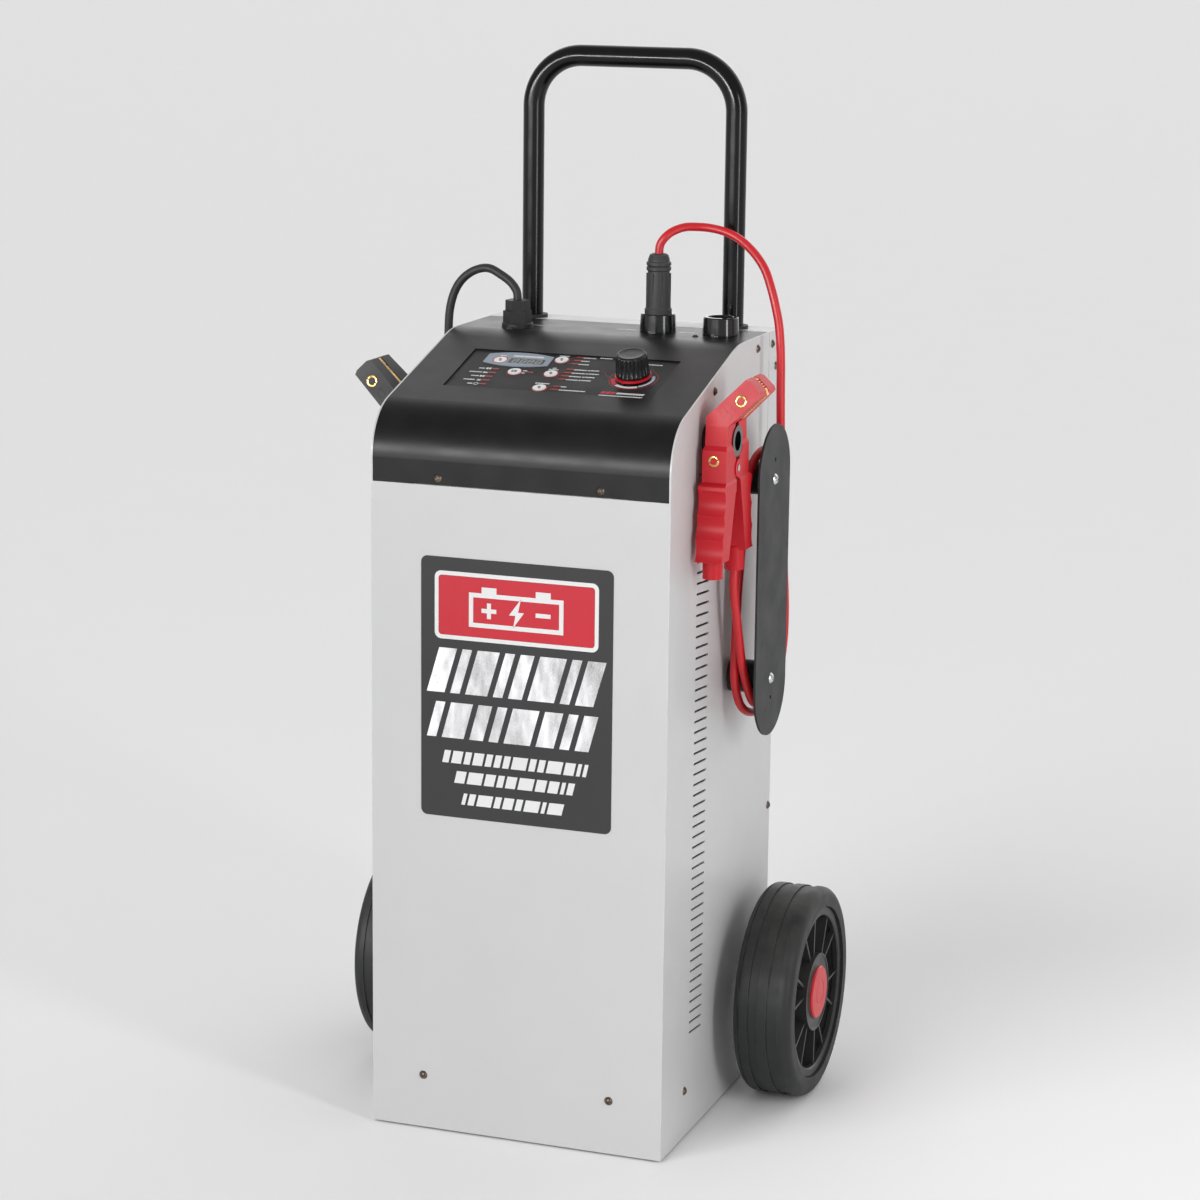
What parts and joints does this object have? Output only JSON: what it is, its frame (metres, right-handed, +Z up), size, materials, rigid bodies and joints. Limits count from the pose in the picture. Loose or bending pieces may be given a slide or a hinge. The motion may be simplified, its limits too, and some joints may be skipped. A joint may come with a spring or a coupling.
{
  "type": "car battery charger",
  "caption": "Upright wheeled workshop battery charger and starter with a sloping control panel, push handle, output sockets, wound leads and sprung battery clamps parked on its sides.",
  "frame": {"origin": "floor level under the middle of the outer box, leads and their plug left out", "axes": "+Z up, front panel faces -Y, wheels and handle at +Y, knob and output sockets towards +X, wheel axle along X"},
  "size_m": [0.44, 0.3273, 0.971],
  "materials": {
    "grey_paint": "satin",
    "black_paint": "satin",
    "handle_paint": "gloss",
    "black_plastic": "matte",
    "dark_print": "satin",
    "red_plastic": "satin",
    "button_plastic": "satin",
    "bezel_plastic": "satin",
    "window": "gloss",
    "lens_red": "gloss",
    "zinc": "satin",
    "dark_zinc": "satin",
    "brass": "satin",
    "tyre": "matte",
    "rubber": "matte",
    "red_rubber": "satin",
    "steel_stack": "matte",
    "copper": "gloss",
    "aluminium": "satin",
    "board": "satin"
  },
  "bodies": {
    "cabinet": {"base_tray": "zinc", "rubber_feet": "rubber", "cabinet_wrap": "grey_paint", "rear_panel": "grey_paint", "handle_cover": "grey_paint", "hood": "black_paint", "front_label": "dark_print", "control_panel": "dark_print", "display_bezel": "bezel_plastic", "display_window": "window", "indicator_lenses": "lens_red", "control_board": "board", "encoder": "zinc", "handle_tube": "handle_paint", "handle_bushes": "rubber", "handle_brackets": "zinc", "handle_bolts": "dark_zinc", "panel_screws": "dark_zinc", "output_sockets": "black_plastic", "socket_contacts": "brass", "negative_gland": "black_plastic", "mains_gland": "black_plastic", "clamp_pegs": "black_plastic", "winder_plates": "black_paint", "winder_spacers": "black_plastic", "winder_screws": "zinc", "axle": "zinc", "axle_brackets": "zinc", "axle_collars": "zinc", "transformer_core": "steel_stack", "transformer_windings": "copper", "rectifier_heatsink": "aluminium", "plug_body": "black_plastic", "plug_pin": "brass", "red_lead": "red_rubber", "black_lead": "rubber", "red_clamp_fixed_half": "red_plastic", "red_jaw_fixed": "brass", "black_clamp_fixed_half": "black_plastic", "black_jaw_fixed": "brass", "clamp_pins": "zinc", "clamp_springs": "zinc"},
    "meter_button": {"button_meter": "button_plastic"},
    "start_button": {"button_start": "button_plastic"},
    "mode_button": {"button_mode": "button_plastic"},
    "current_button": {"button_current": "button_plastic"},
    "battery_button": {"button_battery": "button_plastic"},
    "selector": {"encoder_shaft": "zinc", "knob_skirt": "red_plastic", "selector_knob": "black_plastic"},
    "red_lever": {"red_clamp_lever": "red_plastic", "red_jaw_moving": "brass"},
    "black_lever": {"black_clamp_lever": "black_plastic", "black_jaw_moving": "brass"},
    "right_wheel": {"right_tyre": "tyre", "right_rim": "black_plastic", "right_hub_cap": "red_plastic"},
    "left_wheel": {"left_tyre": "tyre", "left_rim": "black_plastic", "left_hub_cap": "red_plastic"}
  },
  "joints": [
    {"name": "meter_button_press", "type": "slide", "parent": "cabinet", "child": "meter_button", "axis": [0, 0.2857, -0.9583], "range_m": [0, 0.0008], "stiffness_N_per_m": 400},
    {"name": "start_button_press", "type": "slide", "parent": "cabinet", "child": "start_button", "axis": [0, 0.2857, -0.9583], "range_m": [0, 0.0008], "stiffness_N_per_m": 400},
    {"name": "mode_button_press", "type": "slide", "parent": "cabinet", "child": "mode_button", "axis": [0, 0.2857, -0.9583], "range_m": [0, 0.0008], "stiffness_N_per_m": 400},
    {"name": "current_button_press", "type": "slide", "parent": "cabinet", "child": "current_button", "axis": [0, 0.2857, -0.9583], "range_m": [0, 0.0008], "stiffness_N_per_m": 400},
    {"name": "battery_button_press", "type": "slide", "parent": "cabinet", "child": "battery_button", "axis": [0, 0.2857, -0.9583], "range_m": [0, 0.0008], "stiffness_N_per_m": 400},
    {"name": "selector_turn", "type": "hinge", "parent": "cabinet", "child": "selector", "pos_m": [0.0676, -0.05757, 0.69343], "axis": [0, -0.2857, 0.9583], "range_deg": [0, 300]},
    {"name": "red_clamp_squeeze", "type": "hinge", "parent": "cabinet", "child": "red_lever", "pos_m": [0.158, -0.0663, 0.618], "axis": [1, 0, 0], "range_deg": [0, 26], "stiffness_Nm_per_rad": 5, "springref_deg": -22.92},
    {"name": "black_clamp_squeeze", "type": "hinge", "parent": "cabinet", "child": "black_lever", "pos_m": [-0.153, -0.0593, 0.613], "axis": [1, 0, 0], "range_deg": [0, 26], "stiffness_Nm_per_rad": 5, "springref_deg": -22.92},
    {"name": "right_wheel_spin", "type": "hinge", "parent": "cabinet", "child": "right_wheel", "pos_m": [0.191, 0.0647, 0.099], "axis": [1, 0, 0], "continuous": true},
    {"name": "left_wheel_spin", "type": "hinge", "parent": "cabinet", "child": "left_wheel", "pos_m": [-0.191, 0.0647, 0.099], "axis": [1, 0, 0], "continuous": true}
  ]
}
